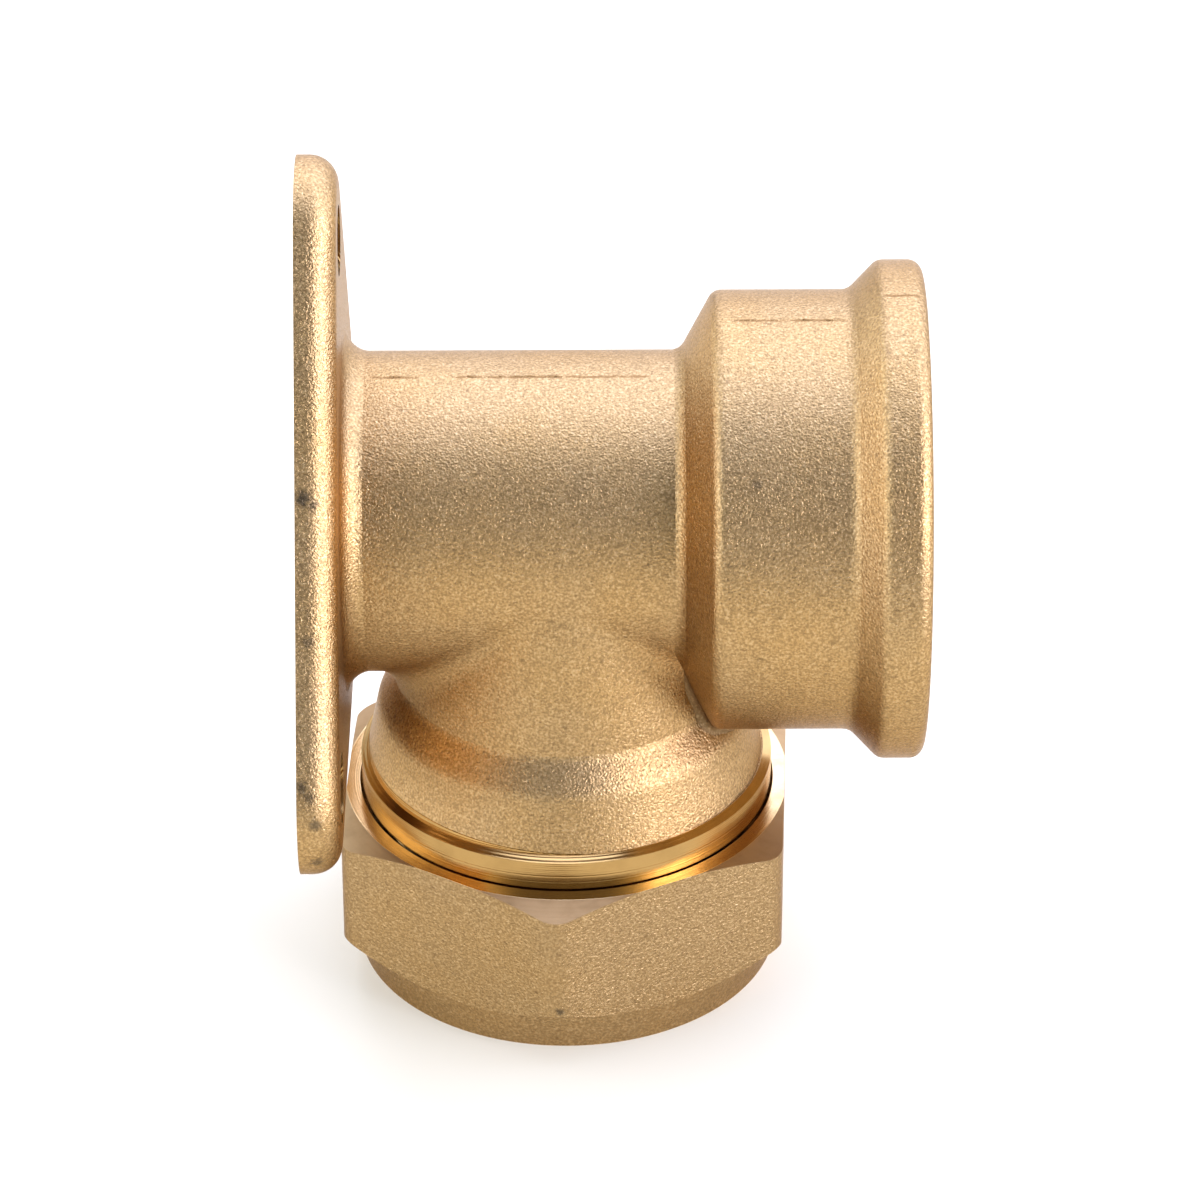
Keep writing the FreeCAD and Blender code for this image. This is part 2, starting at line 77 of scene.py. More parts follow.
class Body(Enum):
    """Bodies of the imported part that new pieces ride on."""

    ELBOW = "elbow"
    NUT = "nut"


class Slot(Enum):
    """Names of material slots in the record."""

    FORGING = "forged_brass"
    NUT = "nut_brass"


class Signal:
    """A shader socket that takes part in Python arithmetic; each operation adds a Math node."""

    def __init__(self, graph: Graph, socket: bpy.types.NodeSocket) -> None:
        """Wraps an output socket of a graph."""
        self.graph = graph
        self.socket = socket

    def _math(self, operation: str, *terms: Signal | float) -> Signal:
        """Adds a Math node.

        Args:
            operation: Blender's name of the operation.
            terms: the operands in order.

        Returns:
            The node's value.
        """
        sockets = dict(enumerate(terms))
        return self.graph.signal("ShaderNodeMath", {"operation": operation}, sockets)

    def __add__(self, other: Signal | float) -> Signal:
        """Sum."""
        return self._math("ADD", self, other)

    __radd__ = __add__

    def __sub__(self, other: Signal | float) -> Signal:
        """Difference."""
        return self._math("SUBTRACT", self, other)

    def __rsub__(self, other: float) -> Signal:
        """Difference from a number."""
        return self._math("SUBTRACT", other, self)

    def __mul__(self, other: Signal | float) -> Signal:
        """Product."""
        return self._math("MULTIPLY", self, other)

    __rmul__ = __mul__

    def __truediv__(self, other: Signal | float) -> Signal:
        """Quotient."""
        return self._math("DIVIDE", self, other)

    def __pow__(self, other: Signal | float) -> Signal:
        """Power."""
        return self._math("POWER", self, other)

    def most(self, other: Signal | float) -> Signal:
        """Larger of two values."""
        return self._math("MAXIMUM", self, other)

    def least(self, other: Signal | float) -> Signal:
        """Smaller of two values."""
        return self._math("MINIMUM", self, other)

    def ramp(self, low: float, high: float) -> Signal:
        """Smooth step.

        Args:
            low: where the result is 0.
            high: where the result is 1; it may lie below low.

        Returns:
            A value from 0 to 1.
        """
        settings = {"interpolation_type": "SMOOTHSTEP"}
        if low < high:
            sockets: dict[str, Any] = {"Value": self, "From Min": low, "From Max": high}
            return self.graph.signal("ShaderNodeMapRange", settings, sockets)
        return 1.0 - self.ramp(high, low)


class Graph:
    """Adds nodes to one node tree."""

    def __init__(self, tree: bpy.types.NodeTree) -> None:
        """Takes an emptied tree."""
        tree.nodes.clear()
        self.tree = tree

    def node(
        self,
        kind: str,
        settings: Mapping[str, Any] | None = None,
        sockets: Mapping[str | int, Any] | None = None,
    ) -> bpy.types.Node:
        """Adds any node.

        Args:
            kind: the node's type.
            settings: properties, which are set first.
            sockets: values, signals or sockets by the input's name or number.

        Returns:
            The node.
        """
        made = self.tree.nodes.new(kind)
        for key, value in (settings or {}).items():
            setattr(made, key, value)
        for key, value in (sockets or {}).items():
            if isinstance(value, Signal):
                self.tree.links.new(value.socket, made.inputs[key])
            elif isinstance(value, bpy.types.NodeSocket):
                self.tree.links.new(value, made.inputs[key])
            else:
                made.inputs[key].default_value = value
        return made

    def signal(self, *node: Any) -> Signal:
        """First output of a new node.

        Args:
            node: what the node method takes.

        Returns:
            The output as a signal.
        """
        return Signal(self, self.node(*node).outputs[0])

    def blend(self, share: Signal, first: Any, second: Any) -> bpy.types.NodeSocket:
        """Mixes two colours.

        Args:
            share: 0 gives the first colour and 1 the second.
            first: a colour or a colour socket.
            second: a colour or a colour socket.

        Returns:
            The mixed colour's socket.
        """
        sides = [(*side, 1.0) if isinstance(side, tuple) else side for side in (first, second)]
        made = self.node(
            "ShaderNodeMix", {"data_type": "RGBA"}, {0: share, 6: sides[0], 7: sides[1]}
        )
        return made.outputs[2]

    def noise(self, place: Any, per_mm: float, detail: float = 2.0, rough: float = 0.5) -> Signal:
        """Cloudy value from 0 to 1.

        Args:
            place: a vector in millimetres.
            per_mm: features in a millimetre.
            detail: octaves.
            rough: how much the finer octaves count.

        Returns:
            The value.
        """
        sockets = {"Vector": place, "Scale": per_mm, "Detail": detail, "Roughness": rough}
        return self.signal("ShaderNodeTexNoise", None, sockets)


@dataclass(frozen=True)
class Place:
    """Where a shaded point lies, in millimetres in the part's own frame."""

    vector: bpy.types.NodeSocket
    x: Signal
    y: Signal
    z: Signal

    @classmethod
    def of(cls, graph: Graph) -> Place:
        """Reads Object coordinates.

        Args:
            graph: the material's graph.

        Returns:
            The place as a vector and as three values.
        """
        at = graph.node("ShaderNodeTexCoord").outputs["Object"]
        scaled = graph.node(
            "ShaderNodeVectorMath", {"operation": "SCALE"}, {0: at, "Scale": 1.0 / MM}
        ).outputs[0]
        parts = graph.node("ShaderNodeSeparateXYZ", None, {0: scaled}).outputs
        return cls(scaled, *(Signal(graph, part) for part in parts))

    def from_stem(self) -> Signal:
        """Distance from the axis of the stem."""
        return (self.y * self.y + self.z * self.z) ** 0.5

    def from_branch(self, axis: float) -> Signal:
        """Distance from an upright axis at that X."""
        across = self.x - axis
        return (across * across + self.y * self.y) ** 0.5


@dataclass(frozen=True)
class Spot:
    """A stain or nick at a point of the surface."""

    x: float
    y: float
    z: float
    radius: float
    depth: float


@dataclass(frozen=True)
class Seam:
    """Dark broken line along the top, beside the ridge that the forging dies left."""

    start: float
    end: float
    aside: float
    half_width: float = 0.19
    wander: float = 0.35
    fade: float = 0.4
    strength: float = 0.85

    def share(self, graph: Graph, place: Place) -> Signal:
        """Share of the line at a point.

        Args:
            graph: the material's graph.
            place: the shaded point.

        Returns:
            A value from 0 to 1, which is 0 below the stem's axis.
        """
        sway = (graph.noise(place.vector, 0.9, 2.0, 0.6) - 0.5) * self.wander
        off = place.y - self.aside + sway
        line = (off * off).ramp(self.half_width**2, (0.35 * self.half_width) ** 2)
        broken = graph.noise(place.vector, 1.6, 3.0, 0.7).ramp(0.34, 0.48)
        ends = place.x.ramp(self.start, self.start + self.fade)
        ends = ends * place.x.ramp(self.end, self.end - self.fade)
        return line * broken * ends * place.z.ramp(0.0, 1.0) * self.strength


@dataclass(frozen=True)
class BlastedBrass:
    """Shot-blasted forging skin: overlapping shallow pits with bright facets between them."""

    base: Colour = (0.485, 0.311, 0.134)
    warm: Colour = (0.50, 0.308, 0.120)
    pit: Colour = (0.21, 0.128, 0.055)
    facet: Colour = (0.80, 0.57, 0.31)
    dull: Colour = (0.075, 0.058, 0.038)
    scale: Colour = (0.24, 0.13, 0.045)
    roughness: float = 0.262
    roughness_swing: float = 0.03
    grain: float = 6.0
    grain_height: float = 0.064
    speckle: float = 0.5
    facet_share: float = 0.7
    patches: float = 0.11
    specks: float = 1.9
    speck_share: float = 0.6
    spots: tuple[Spot, ...] = ()
    seams: tuple[Seam, ...] = ()

    def stains(self, graph: Graph, place: Place) -> Signal | None:
        """Share of stain at a point: soft-edged spots, broken up by a fine noise.

        Args:
            graph: the material's graph.
            place: the shaded point.

        Returns:
            A value from 0 to 1, or None for a clean skin.
        """
        total: Signal | None = None
        ragged = graph.noise(place.vector, 3.4, 3.0, 0.7)
        for spot in self.spots:
            off = (place.x - spot.x, place.y - spot.y, place.z - spot.z)
            reach = (off[0] * off[0] + off[1] * off[1] + off[2] * off[2]) ** 0.5
            share = (reach / spot.radius + (ragged - 0.5) * 1.6).ramp(1.0, 0.2) * spot.depth
            total = share if total is None else total.most(share)
        return total

    def lay(self, graph: Graph, place: Place) -> tuple[Any, Signal, Signal]:
        """Colour, roughness and height of the skin.

        Args:
            graph: the material's graph.
            place: the shaded point.

        Returns:
            The colour's socket, the roughness and the height in millimetres.
        """
        cells = {"Vector": place.vector, "Scale": self.grain, "Randomness": 1.0}
        pits = graph.signal("ShaderNodeTexVoronoi", {"feature": "SMOOTH_F1"}, cells)
        grit = graph.noise(place.vector, self.grain * 1.15, 3.0, 0.62)
        patch = graph.noise(place.vector, self.patches, 2.0, 0.55)
        colour = graph.blend(patch.ramp(0.35, 0.7), self.base, self.warm)
        hollow = graph.noise(place.vector, self.grain * 0.9, 1.0, 0.5)
        colour = graph.blend(hollow.ramp(0.55, 0.36) * self.speckle, colour, self.pit)
        bright = hollow.ramp(0.55, 0.72) * self.speckle * self.facet_share
        colour = graph.blend(bright, colour, self.facet)
        specks = graph.noise(place.vector, self.specks, 1.0, 0.5).ramp(0.69, 0.78)
        colour = graph.blend(specks * self.speck_share, colour, self.pit)
        stain = self.stains(graph, place)
        if stain is not None:
            colour = graph.blend(stain, colour, self.dull)
        for seam in self.seams:
            colour = graph.blend(seam.share(graph, place), colour, self.scale)
        rough = self.roughness + grit * self.roughness_swing
        height = (pits * 0.55 + grit * 0.95) * self.grain_height
        return colour, rough, height


@dataclass(frozen=True)
class TurnedBrass:
    """Bright lathe-turned face with fine tool rings."""

    base: Colour = (0.50, 0.31, 0.11)
    stained: Colour = (0.45, 0.275, 0.096)
    roughness: float = 0.16
    roughness_swing: float = 0.12
    rings: float = 7.0
    ring_height: float = 0.015

    def lay(self, graph: Graph, place: Place, along: Signal) -> tuple[Any, Signal, Signal]:
        """Colour, roughness and height of the face.

        Args:
            graph: the material's graph.
            place: the shaded point.
            along: distance across the tool rings, in millimetres.

        Returns:
            The colour's socket, the roughness and the height in millimetres.
        """
        tool = graph.signal(
            "ShaderNodeTexNoise",
            {"noise_dimensions": "1D"},
            {"W": along, "Scale": self.rings, "Detail": 2.0},
        )
        haze = graph.noise(place.vector, 0.5, 3.0, 0.6)
        colour = graph.blend(haze.ramp(0.4, 0.75), self.base, self.stained)
        rough = self.roughness + (haze - 0.5) * self.roughness_swing
        return colour, rough, tool * self.ring_height


@dataclass(frozen=True)
class BrassPiece:
    """Finish of one piece: a forged skin with turned faces where a mask says so."""

    name: str
    skin: BlastedBrass
    face: TurnedBrass

    def turned_share(self, place: Place) -> Signal | None:
        """Share of turned face at a point; None where the whole piece is turned."""
        return None

    def tool_path(self, place: Place) -> Signal:
        """Distance across the tool rings, in millimetres."""
        return place.from_branch(ElbowSizes.branch_axis) + place.z

    def lay_face(self, graph: Graph, place: Place) -> tuple[Any, Signal, Signal]:
        """Colour, roughness and height of the turned faces.

        Args:
            graph: the material's graph.
            place: the shaded point.

        Returns:
            The colour's socket, the roughness and the height in millimetres.
        """
        return self.face.lay(graph, place, self.tool_path(place))

    def material(self) -> bpy.types.Material:
        """Builds the material.

        Returns:
            A node material that reads Object coordinates alone.
        """
        made = bpy.data.materials.new(self.name)
        made.use_nodes = True
        graph = Graph(made.node_tree)
        place = Place.of(graph)
        colour, rough, height = self.lay_face(graph, place)
        share = self.turned_share(place)
        if share is not None:
            skin_colour, skin_rough, skin_height = self.skin.lay(graph, place)
            colour = graph.blend(share, skin_colour, colour)
            rough = skin_rough + (rough - skin_rough) * share
            height = skin_height + (height - skin_height) * share
        bump = graph.node(
            "ShaderNodeBump", None, {"Strength": 1.0, "Distance": MM, "Height": height}
        )
        shader = graph.node(
            "ShaderNodeBsdfPrincipled",
            None,
            {
                "Base Color": colour,
                "Metallic": 1.0,
                "Roughness": rough,
                "Specular Tint": EDGE_TINT,
                "Normal": bump.outputs[0],
            },
        )
        graph.node("ShaderNodeOutputMaterial", None, {"Surface": shader.outputs[0]})
        return made


class ElbowSizes:
    """Sizes of the CAD part that the finishes and the new pieces share."""

    branch_axis = 18.4
    forged_axis = 18.27
    stem_end = 26.65
    body_length = 43.9
    waterway_radius = 9.0
    outlet_radius = 13.22
    floor_end = 29.05
    turned_wall_radius = 14.4
    turned_wall_top = -18.5
    ring_foot = -22.5
    tube_radius = 11.1
    tube_stop = -14.6
    riser_radius = 9.5
    screw_circle = 22.0
    screw_radius = 2.5
    lobes_deg = (90.0, 210.0, 330.0)


@dataclass(frozen=True)
class ElbowFinish(BrassPiece):
    """Forged elbow: bores, thread, ring, wall face and mouth are turned or drilled."""

    def turned_share(self, place: Place) -> Signal:
        """Largest of the masks of the turned and drilled faces.

        Args:
            place: the shaded point.

        Returns:
            A value from 0 to 1.
        """
        sizes = ElbowSizes
        stem = place.from_stem()
        branch = place.from_branch(sizes.branch_axis)
        low = place.z.ramp(sizes.turned_wall_top + 0.08, sizes.turned_wall_top + 0.04)
        wall = branch.ramp(sizes.turned_wall_radius - 0.03, sizes.turned_wall_radius - 0.01) * low
        end = place.z.ramp(sizes.ring_foot + 0.3, sizes.ring_foot + 0.2)
        opening = (sizes.outlet_radius - sizes.waterway_radius) / (sizes.floor_end - sizes.stem_end)
        bore = ((place.x - sizes.stem_end) * opening).most(0.0) + sizes.waterway_radius
        bore = bore.least(sizes.outlet_radius + 0.85)
        outlet = (stem - bore).ramp(0.2, 0.1)
        riser = branch.ramp(sizes.riser_radius + 0.1, sizes.riser_radius + 0.05)
        riser = riser * place.z.ramp(3.0, 2.0)
        tube = branch.ramp(sizes.tube_radius + 0.2, sizes.tube_radius + 0.1)
        tube = tube * place.z.ramp(sizes.tube_stop + 0.1, sizes.tube_stop + 0.05)
        mouth = place.x.ramp(sizes.body_length - 0.03, sizes.body_length - 0.01)
        back = place.x.ramp(0.03, 0.015)
        share = wall.most(end).most(outlet).most(riser).most(tube).most(mouth).most(back)
        for lobe in sizes.lobes_deg:
            across = place.y - sizes.screw_circle * math.cos(math.radians(lobe))
            along = place.z - sizes.screw_circle * math.sin(math.radians(lobe))
            reach = (across * across + along * along) ** 0.5
            share = share.most(reach.ramp(sizes.screw_radius + 0.06, sizes.screw_radius + 0.03))
        return share

    def tool_path(self, place: Place) -> Signal:
        """Rings about the branch below the stem, and about the stem elsewhere."""
        below = place.z.ramp(-17.0, -18.0)
        about_stem = place.from_stem() + place.x
        about_branch = place.from_branch(ElbowSizes.branch_axis) + place.z
        return about_stem + (about_branch - about_stem) * below


@dataclass(frozen=True)
class NutFinish(BrassPiece):
    """Forged nut: its top face, foot and bore are turned bright, and its top cone is left dull."""

    crown: TurnedBrass = TurnedBrass(
        (0.42, 0.27, 0.125), (0.35, 0.22, 0.098), roughness=0.42, rings=6.0, ring_height=0.006
    )
    top: float = -22.6
    top_face_radius: float = 16.2
    top_slope: float = math.tan(math.radians(22.0))
    foot: float = -36.05
    bore_radius: float = 15.2

    def turned_share(self, place: Place) -> Signal:
        """Largest of the masks of the turned faces.

        Args:
            place: the shaded point.

        Returns:
            A value from 0 to 1.
        """
        branch = place.from_branch(ElbowSizes.branch_axis)
        cone = (branch - self.top_face_radius).most(0.0) * -self.top_slope + self.top
        crown = (place.z - cone).ramp(-0.04, -0.02)
        foot = place.z.ramp(self.foot + 0.03, self.foot + 0.015)
        bore = branch.ramp(self.bore_radius, self.bore_radius - 0.05)
        return crown.most(foot).most(bore * place.z.ramp(self.foot, self.foot + 0.02))

    def lay_face(self, graph: Graph, place: Place) -> tuple[Any, Signal, Signal]:
        """Bright turned faces with the dull cone outside the top face.

        Args:
            graph: the material's graph.
            place: the shaded point.

        Returns:
            The colour's socket, the roughness and the height in millimetres.
        """
        along = self.tool_path(place)
        colour, rough, height = self.face.lay(graph, place, along)
        dull_colour, dull_rough, dull_height = self.crown.lay(graph, place, along)
        branch = place.from_branch(ElbowSizes.branch_axis)
        share = branch.ramp(self.top_face_radius - 0.01, self.top_face_radius + 0.04)
        share = share * place.z.ramp(self.top - 3.0, self.top - 2.5)
        return (
            graph.blend(share, colour, dull_colour),
            rough + (dull_rough - rough) * share,
            height + (dull_height - height) * share,
        )


@dataclass(frozen=True)
class CreaseShadeFinish(BrassPiece):
    """Crease of the forging: the skin alone, darkened as painted shade of the crease."""

    def lay_face(self, graph: Graph, place: Place) -> tuple[Any, Signal, Signal]:
        """Lays the skin over the whole piece.

        Args:
            graph: the material's graph.
            place: the shaded point.

        Returns:
            The colour's socket, the roughness and the height in millimetres.
        """
        return self.skin.lay(graph, place)


def grid_faces(rows: int, columns: int) -> np.ndarray:
    """Quads of a grid whose columns run in a ring: corner (i, j) joins (i + 1, j + 1 mod columns).

    Args:
        rows: points along the path.
        columns: points round the profile.

    Returns:
        One row of four point numbers for each quad.
    """
    row = np.arange(rows - 1)[:, None] * columns
    column = np.arange(columns)[None, :]
    after = (column + 1) % columns
    corners = (row + column, row + after, row + columns + after, row + columns + column)
    return np.stack(corners, axis=-1).reshape(-1, 4)


def closed_mesh(name: str, grid: np.ndarray, crease_deg: float) -> bpy.types.Object:
    """Makes a closed piece from rings of points: quads between the rings and a cap on each end.

    Args:
        name: the object's name.
        grid: points in millimetres, rings by profile points by 3.
        crease_deg: edges sharper than this stay sharp.

    Returns:
        The new object at the origin, with its faces outwards.
    """
    rows, columns, _ = grid.shape
    points = grid.reshape(-1, 3)
    quads = grid_faces(rows, columns)
    a, b, c, d = (points[quads[:, k]] for k in range(4))
    volume = (np.cross(a, b) * c).sum() + (np.cross(a, c) * d).sum()
    caps = [np.arange(columns)[::-1], (rows - 1) * columns + np.arange(columns)]
    faces = quads.tolist() + [cap.tolist() for cap in caps]
    if volume < 0:
        faces = [face[::-1] for face in faces]
    mesh = bpy.data.meshes.new(name)
    mesh.from_pydata((points * MM).tolist(), [], faces)
    mesh.update()
    mesh.shade_smooth()
    mesh.set_sharp_from_angle(angle=math.radians(crease_deg))
    made = bpy.data.objects.new(name, mesh)
    bpy.context.scene.collection.objects.link(made)
    return made


@dataclass(frozen=True)
class ThreadRidge:
    """Right-hand helical ridge that stands on a turned cylinder.

    The surface is P(a, s) = origin + along * (start + pitch * a / 2 pi + w(s))
    + e(a) * (root + h(s)), with e(a) the unit vector at angle a round the axis, and w and h
    a trapezium's width and height. A negative height stands inwards. The height fades to
    nothing, and the width to a share of its own, over the first and last part of a turn.
    """

    name: str
    origin: tuple[float, float, float]
    along: tuple[float, float, float]
    root: float
    height: float
    pitch: float
    start: float
    length: float
    flank_deg: float
    crest: float
    fade_turns: float = 0.3
    end_width: float = 0.35
    sink: float = 0.06
    steps_per_turn: int = 96

    def surface(self) -> np.ndarray:
        """Points of the ridge.

        Returns:
            Rings along the helix by profile points by 3, in millimetres.
        """
        turns = self.length / self.pitch
        angle = np.linspace(0.0, 2.0 * math.pi * turns, int(turns * self.steps_per_turn))
        turn = angle / (2.0 * math.pi)
        fade = np.clip(np.minimum(turn, turns - turn) / self.fade_turns, 0.0, 1.0)
        fade = (fade * fade * (3.0 - 2.0 * fade))[:, None]
        slope = math.tan(math.radians(self.flank_deg))
        foot = self.crest / 2.0 + abs(self.height) * slope
        side = math.copysign(1.0, self.height)
        width = np.array([-foot, -foot, -self.crest / 2.0, self.crest / 2.0, foot, foot])
        rise = np.array([-self.sink * side, 0.0, self.height, self.height, 0.0, -self.sink * side])
        drop = self.sink * 0.5 * side
        faded = rise * fade - drop * (1.0 - fade)
        radius = self.root + np.where(rise * side > 0.0, faded, rise)
        axis = np.array(self.along)
        first = np.array((0.0, 1.0, 0.0))
        second = np.cross(axis, first)
        spin = angle[:, None, None]
        out = np.cos(spin) * first + np.sin(spin) * second
        spread = width[None, :] * (self.end_width + (1.0 - self.end_width) * fade)
        forward = self.start + self.pitch * turn[:, None] + spread
        return np.array(self.origin) + forward[..., None] * axis + radius[..., None] * out

    def build(self) -> bpy.types.Object:
        """Makes the ridge's object."""
        return closed_mesh(self.name, self.surface(), 25.0)


def swing(first: np.ndarray, second: np.ndarray, steps: int) -> np.ndarray:
    """Unit vectors that turn from one direction to another at an even rate.

    With w the angle between them, the vector at share s is
    (sin((1 - s) w) first + sin(s w) second) / sin(w).

    Args:
        first: the first unit vector.
        second: the last unit vector.
        steps: how many vectors to give.

    Returns:
        One row for each vector.
    """
    angle = math.acos(float(np.clip(first @ second, -1.0, 1.0)))
    share = np.linspace(0.0, 1.0, steps)[:, None]
    if angle < 1e-6:
        return np.repeat(first[None, :], steps, axis=0)
    turned = np.sin((1.0 - share) * angle) * first + np.sin(share * angle) * second
    return turned / math.sin(angle)


@dataclass(frozen=True)
class Profile:
    """Outline of a turned form: straight runs and round corners in the half plane of its axis.

    Each corner is (distance along the axis, distance from the axis, radius of the round).
    """

    corners: tuple[tuple[float, float, float], ...]
    step: float = 0.02

    def points(self) -> np.ndarray:
        """Samples the outline at even steps.

        Returns:
            Rows of distance along the axis and distance from it.
        """
        spots = np.array([corner[:2] for corner in self.corners])
        runs = [spots[:1]]
        for number in range(1, len(spots) - 1):
            here, radius = spots[number], self.corners[number][2]
            before = (spots[number - 1] - here) / np.linalg.norm(spots[number - 1] - here)
            after = (spots[number + 1] - here) / np.linalg.norm(spots[number + 1] - here)
            half = math.acos(float(np.clip(before @ after, -1.0, 1.0))) / 2.0
            middle = (before + after) / np.linalg.norm(before + after)
            centre = here + middle * radius / math.sin(half)
            reach = radius / math.tan(half)
            start = (here + before * reach - centre) / radius
            stop = (here + after * reach - centre) / radius
            runs.append(centre + radius * swing(start, stop, 24))
        runs.append(spots[-1:])
        line = np.concatenate(runs)
        far = np.concatenate([[0.0], np.cumsum(np.linalg.norm(np.diff(line, axis=0), axis=1))])
        even = np.linspace(0.0, far[-1], int(far[-1] / self.step))
        return np.stack([np.interp(even, far, line[:, k]) for k in range(2)], axis=-1)

    def normals(self, points: np.ndarray) -> np.ndarray:
        """Unit vectors that point out of the form.

        Args:
            points: the outline's samples, in order along the axis.

        Returns:
            One row for each sample.
        """
        run = np.gradient(points, axis=0)
        run /= np.linalg.norm(run, axis=1)[:, None]
        return np.stack([-run[:, 1], run[:, 0]], axis=-1)


@dataclass(frozen=True)
class CreaseBlend:
    """Blend in the crease between the socket and the branch, as a rolling ball leaves it.

    At each angle round the branch, the ball's centre runs along the branch's outline moved out by
    the ball's radius, up to where its distance from the socket's outline is that radius too. The
    strip is the ball's arc between its two points of touch, and closes inside the metal. The
    ball shrinks towards both ends of the strip.
    """

    name: str
    axis: float
    branch: Profile
    socket: Profile
    radius: float
    reach_deg: float
    fade_deg: float
    sink: float = 0.012
    root: float = 0.7
    end_ball: float = 0.12
    rows: int = 121
    columns: int = 15

    def surface(self) -> np.ndarray:
        """Points of the strip.

        Returns:
            Rings round the branch by profile points by 3, in millimetres.
        """
        line, outlet = self.branch.points(), self.socket.points()
        out = self.branch.normals(line)
        rings = []
        ease = np.clip(1.0 - np.arange(self.columns) / (self.columns // 2), 0.0, 1.0)[:, None] ** 2
        for angle in np.radians(np.linspace(-self.reach_deg, self.reach_deg, self.rows)):
            left = (math.radians(self.reach_deg) - abs(angle)) / math.radians(self.fade_deg)
            left = min(max(left, 0.0), 1.0)
            grown = left * left * (3.0 - 2.0 * left)
            ball = self.radius * (self.end_ball + (1.0 - self.end_ball) * grown)
            away = np.array((math.cos(angle), math.sin(angle), 0.0))
            down = np.array((0.0, 0.0, -1.0))
            hub = np.array((self.axis, 0.0, 0.0))
            centre = line + ball * out
            at = hub + centre[:, 1:] * away + centre[:, :1] * down
            flat = np.stack([at[:, 0], np.hypot(at[:, 1], at[:, 2])], axis=-1)
            gap = np.linalg.norm(flat[:, None, :] - outlet[None, ::4, :], axis=-1).min(axis=1)
            outside = flat[:, 1] > np.interp(flat[:, 0], outlet[:, 0], outlet[:, 1])
            clear = outside & (gap > ball)
            last = int(np.nonzero(~clear)[0].max())
            step = max(gap[last + 1] - gap[last], 1e-9)
            share = float(np.clip((gap[last + 1] - ball) / step, 0.0, 1.0))
            middle = at[last + 1] * (1.0 - share) + at[last] * share
            lean = out[last + 1] * (1.0 - share) + out[last] * share
            first = -(lean[1] * away + lean[0] * down)
            first /= np.linalg.norm(first)
            radial = math.hypot(middle[1], middle[2])
            far = np.linalg.norm(outlet - np.array((middle[0], radial)), axis=1)
            along, wide = outlet[int(far.argmin())]
            touch = np.array((along, middle[1] / radial * wide, middle[2] / radial * wide))
            second = (touch - middle) / np.linalg.norm(touch - middle)
            arc = middle + ball * swing(first, second, self.columns)
            arc += self.sink * (ease * first + ease[::-1] * second)
            roots = (arc[0] + self.root * first, arc[-1] + self.root * second)
            rings.append(np.concatenate([roots[:1], arc, roots[1:]]))
        return np.array(rings)

    def build(self) -> bpy.types.Object:
        """Makes the strip's object."""
        return closed_mesh(self.name, self.surface(), 40.0)


@dataclass(frozen=True)
class FlashLine:
    """Low ragged ridge that the parting of the forging dies left along the top.

    The surface is P(x, s) = (x, y(x) + w(s), sqrt(R(x)^2 - y^2) + h(x) c(s)), with R the outline's
    radius, w and c the ridge's width and shape, and h a height that wanders and fades at the ends.
    """

    name: str
    outline: Profile
    start: float
    end: float
    aside: float
    width: float
    height: float
    seed: int
    sink: float = 0.06
    root: float = 0.4
    step: float = 0.08
    knot_gap: float = 0.45
    fade_length: float = 0.8

    def surface(self) -> np.ndarray:
        """Points of the ridge.

        Returns:
            Rings along X by profile points by 3, in millimetres.
        """
        line = self.outline.points()
        length = self.end - self.start
        along = np.linspace(self.start, self.end, int(length / self.step))
        radius = np.interp(along, line[:, 0], line[:, 1])
        dice = np.random.default_rng(self.seed)
        knots = np.linspace(self.start, self.end, max(4, int(length / self.knot_gap)))
        rise = np.interp(along, knots, dice.uniform(-0.1, 1.0, len(knots)))
        drift = np.interp(along, knots, dice.uniform(-0.12, 0.12, len(knots)))
        from_end = np.minimum(along - self.start, self.end - along)
        fade = np.clip(from_end / self.fade_length, 0.0, 1.0)
        tall = self.height * rise * fade
        shares = np.array([-1.0, -1.0, -0.55, 0.0, 0.55, 1.0, 1.0])
        shape = np.array([0.0, 0.0, 0.7, 1.0, 0.7, 0.0, 0.0])
        below = np.array([0.0, -1.0, -0.25, -0.1, -0.25, -1.0, 0.0]) * self.sink
        below[[0, -1]] = -self.root
        across = self.aside + drift[:, None] + self.width * shares[None, :]
        level = np.sqrt(radius[:, None] ** 2 - across**2) + tall[:, None] * shape + below
        return np.stack([np.broadcast_to(along[:, None], level.shape), across, level], axis=-1)

    def build(self) -> bpy.types.Object:
        """Makes the ridge's object."""
        return closed_mesh(self.name, self.surface(), 60.0)


